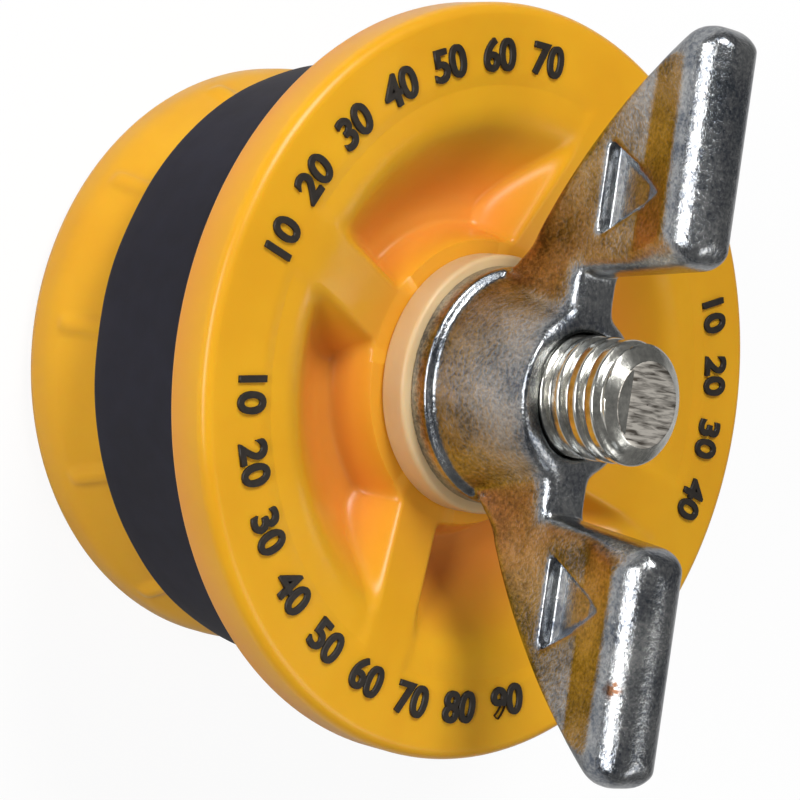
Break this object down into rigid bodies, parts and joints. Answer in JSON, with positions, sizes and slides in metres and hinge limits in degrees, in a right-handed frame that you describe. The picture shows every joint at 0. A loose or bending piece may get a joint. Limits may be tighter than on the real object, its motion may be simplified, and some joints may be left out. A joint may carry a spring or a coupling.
{
  "type": "pipe expansion plug",
  "caption": "Test plug for a pipe end: a wing nut on a carriage bolt draws two moulded plates together and squeezes the rubber ring between them against the bore.",
  "frame": {"origin": "centre of the rear face of the back plate, which the plug stands on", "axes": "+Z along the bolt towards the wing nut, X along the wing nut's wings at rest"},
  "size_m": [0.0484, 0.0484, 0.0408],
  "materials": {
    "yellow_nylon": "moulded, satin gloss",
    "black_rubber": "moulded, matt",
    "natural_nylon": "turned, off-white",
    "zinc_plated_steel": "bright zinc plate, ground end",
    "zinc_plated_casting": "bright zinc plate on a forging"
  },
  "bodies": {
    "bolt_and_back": {"back_plate": "yellow_nylon", "carriage_bolt": "zinc_plated_steel", "sealing_ring": "black_rubber"},
    "front": {"front_plate": "yellow_nylon", "thrust_washer": "natural_nylon"},
    "nut": {"wing_nut": "zinc_plated_casting"}
  },
  "joints": [
    {"name": "clamp", "type": "slide", "parent": "bolt_and_back", "child": "front", "axis": [0, 0, -1], "range_m": [0, 0.003], "deforming": ["sealing_ring"]},
    {"name": "nut_turn", "type": "hinge", "parent": "front", "child": "nut", "pos_m": [0, 0, 0.0243], "axis": [0, 0, -1], "range_deg": [0, 765]}
  ],
  "couplings": [
    {"joint": "clamp", "follows": "nut_turn", "m_per_rad": 0.00022457}
  ]
}
